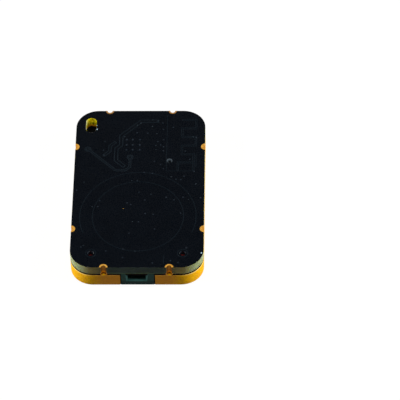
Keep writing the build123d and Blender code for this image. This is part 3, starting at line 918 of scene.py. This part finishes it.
def islands(node):
    """Boxes of a node's separate solids, in millimetres. Points that a face joins get one root."""
    mesh = frame["nodes"][node].data
    places = [tuple(round(value / mm, 2) for value in vertex.co) for vertex in mesh.vertices]
    parent = {place: place for place in places}

    def root(place):
        while parent[place] != place:
            place = parent[place]
        return place

    for polygon in mesh.polygons:
        first = root(places[polygon.vertices[0]])
        for vertex in polygon.vertices[1:]:
            parent[root(places[vertex])] = first
    groups = {}
    for place in places:
        groups.setdefault(root(place), []).append(place)
    boxes = []
    for members in groups.values():
        boxes.append(([min(axis) for axis in zip(*members)], [max(axis) for axis in zip(*members)]))
    return boxes


def make_terminals():
    """Tinned ends of the chip parts on the board's underside."""
    shape = Shape()
    for node in tinned_parts:
        for low, high in islands(node):
            along = 0 if high[0] - low[0] > high[1] - low[1] else 1
            reach = tinned_share * (high[along] - low[along])
            grown_low = [value - tin_thickness for value in low]
            grown_high = [high[0] + tin_thickness, high[1] + tin_thickness, high[2]]
            near_high, far_low = list(grown_high), list(grown_low)
            near_high[along] = low[along] + reach
            far_low[along] = high[along] - reach
            shape.box(grown_low, near_high)
            shape.box(far_low, grown_high)
    soften(piece("tinned_ends", shape, materials["tinned_leads"], "tag"), 0.03)


def dress_nodes():
    """Gives each node of the solids the finish of its material slot."""
    for subpart in frame["record"]["subparts"]:
        slots = frame["nodes"][subpart["node"]].data.materials
        slots.clear()
        slots.append(materials[subpart["material_slot"]])


def dress_board():
    """Gives the board's lower face the mask, and the walls of its slot and holes their own finishes, the
    slot's a brighter laminate with painted light.
    """
    mesh = frame["nodes"]["board"].data
    for finish in (mask, painted_lit_slot_wall, drilled_resin_glint, materials["tinned_leads"]):
        mesh.materials.append(finish)
    below, in_slot, in_peg_hole, in_post_hole = range(1, 5)
    # The peg holes' walls get the bluish resin with its painted glint
    holes = [((x, peg_y), peg_hole_radius, in_peg_hole) for x in (-peg_x, peg_x)]
    holes.append(((post_x, post_y), post_hole_radius, in_post_hole))
    # The slot's walls get the laminate's brighter copy, painted light
    holes.append(((slot_x, slot_y), slot_length / 2, in_slot))
    for polygon in mesh.polygons:
        if polygon.normal.z < -0.5:
            polygon.material_index = below
        elif polygon.normal.z < 0.5:
            for centre, reach, index in holes:
                if (polygon.center.xy / mm - Vector(centre)).length < reach + 0.05:
                    polygon.material_index = index


def dress_holder():
    """Gives the tips of the holder's pegs their own finish, and the slanted edges of its notch a lighter
    one as a painted highlight.
    """
    mesh = frame["nodes"]["cell_holder"].data
    mesh.materials.append(peg_tip)
    mesh.materials.append(notch_edge_highlight)
    for polygon in mesh.polygons:
        place = polygon.center / mm
        by_notch = place.y < notch_back and abs(place.x) < notch_reach and place.z > notch_floor
        if place.z > board_bottom + 0.1:
            polygon.material_index = 1
        elif by_notch and -0.98 < polygon.normal.y < -0.3:
            # Slanted edges of the notch: painted highlight
            polygon.material_index = 2


def seeing_rays(nodes):
    """Gives 1 for the rays that see the white background: from the camera, off gloss and through glass."""
    rays = nodes.add("ShaderNodeLightPath").outputs
    mirrored = nodes.combine("MAXIMUM", rays["Is Glossy Ray"], rays["Is Transmission Ray"])
    return nodes.combine("MAXIMUM", rays["Is Camera Ray"], mirrored)


def floor_material():
    """Pale floor, open from below: white where it is seen, but for a trace of the object's shadow.

    Other rays pass it and meet the room's lower half, which has the floor's brightness.
    """
    material = bpy.data.materials.new("floor")
    nodes = Nodes(material)
    nodes.tree.nodes.clear()
    clear = nodes.add("ShaderNodeBsdfTransparent").outputs[0]
    lit = nodes.add("ShaderNodeBsdfDiffuse", Color=(1.0, 1.0, 1.0)).outputs[0]
    seen = nodes.mixed(floor_white, lit, nodes.add("ShaderNodeEmission").outputs[0])
    above = nodes.mixed(seeing_rays(nodes), clear, seen)
    from_below = nodes.add("ShaderNodeNewGeometry").outputs["Backfacing"]
    nodes.add("ShaderNodeOutputMaterial", Surface=nodes.mixed(from_below, above, clear))
    material.cycles.emission_sampling = "NONE"
    return material


def make_floor():
    """The floor stays under the coin cell, so the tag is lifted off its cell and not through the floor."""
    mesh = bpy.data.meshes.new("floor")
    reach = floor_reach * mm
    corners = [(-reach, -reach), (reach, -reach), (reach, reach), (-reach, reach)]
    mesh.from_pydata([(x, y, -floor_drop * mm) for x, y in corners], [], [(0, 1, 2, 3)])
    mesh.materials.append(floor_material())
    floor = bpy.data.objects.new("floor", mesh)
    bpy.context.scene.collection.objects.link(floor)
    floor.parent = frame["bodies"]["cell"]


def make_world():
    """A dim room with a white backdrop. Reflections see it up to its top, and the dim ceiling above."""
    world = bpy.data.worlds.new("room")
    world.cycles.sampling_method = "NONE"
    bpy.context.scene.world = world
    nodes = Nodes(world)
    nodes.tree.nodes.clear()
    way = nodes.add("ShaderNodeTexCoord").outputs["Generated"]
    height = nodes.add("ShaderNodeSeparateXYZ", Vector=way).outputs["Z"]
    level = nodes.between(height, ground_level, room_level, -horizon_fade, 0.0, kind="LINEAR")
    room = nodes.add("ShaderNodeBackground", Color=(0.9, 0.95, 1.0), Strength=level).outputs[0]
    mirrored = nodes.between(height, 1.0, room_level, backdrop_fade, backdrop_top, kind="LINEAR")
    camera_ray = nodes.add("ShaderNodeLightPath").outputs["Is Camera Ray"]
    whiteness = nodes.combine("MAXIMUM", camera_ray, mirrored)
    backdrop = nodes.add("ShaderNodeBackground", Color=(1.0, 1.0, 1.0), Strength=whiteness).outputs[0]
    nodes.add("ShaderNodeOutputWorld", Surface=nodes.mixed(seeing_rays(nodes), room, backdrop))


def softbox(name, azimuth, elevation, level):
    """A soft lamp aimed at the tag. Azimuth 0 is in front and 90 to the right.

    At level 1 it makes a white surface that faces it just white.
    """
    a, e = math.radians(azimuth), math.radians(elevation)
    away = Vector((math.sin(a) * math.cos(e), -math.cos(a) * math.cos(e), math.sin(e)))
    data = bpy.data.lights.new(name, "AREA")
    data.shape = "RECTANGLE"
    data.size, data.size_y = lamp_width * mm, lamp_height * mm
    data.energy = level * (math.pi * lamp_distance * mm) ** 2
    data.color = lamp_colour
    lamp = bpy.data.objects.new(name, data)
    lamp.visible_glossy = False
    bpy.context.scene.collection.objects.link(lamp)
    lamp.location = away * lamp_distance * mm
    lamp.rotation_mode = "QUATERNION"
    lamp.rotation_quaternion = away.to_track_quat("Z", "Y")


def make_camera():
    """The photograph's view of the tag."""
    data = bpy.data.cameras.new("camera")
    data.lens = data.sensor_width * focal_pixels / picture_width
    data.clip_start, data.clip_end = nearest_seen * mm, farthest_seen * mm
    camera = bpy.data.objects.new("camera", data)
    bpy.context.scene.collection.objects.link(camera)
    bpy.context.scene.camera = camera
    camera.location = camera_place * mm
    camera.rotation_mode = "QUATERNION"
    level = (camera_target - camera_place).to_track_quat("-Z", "Y")
    camera.rotation_quaternion = level @ Quaternion((0, 0, 1), math.radians(camera_roll))


make_mask()
make_contacts()
make_gasket_bead()
make_rim_pips()
make_vias()
make_tracks()
make_relief()
make_chips_in_mask()
make_hole_plating()
make_slot_band()
make_joint()
make_cap()
make_terminals()
for node, width in (("housing", 0.03), ("cell_holder", 0.03), ("slot_liner", 0.04)):
    soften(frame["nodes"][node], width)
dress_nodes()
dress_board()
dress_holder()

make_floor()
make_world()
softbox("left_softbox", -89, 22, 1.5)
softbox("right_softbox", 89, 22, 1.5)
softbox("top_softbox", 0, 89, 0.4)
make_camera()
bpy.context.scene.view_settings.view_transform = "Standard"
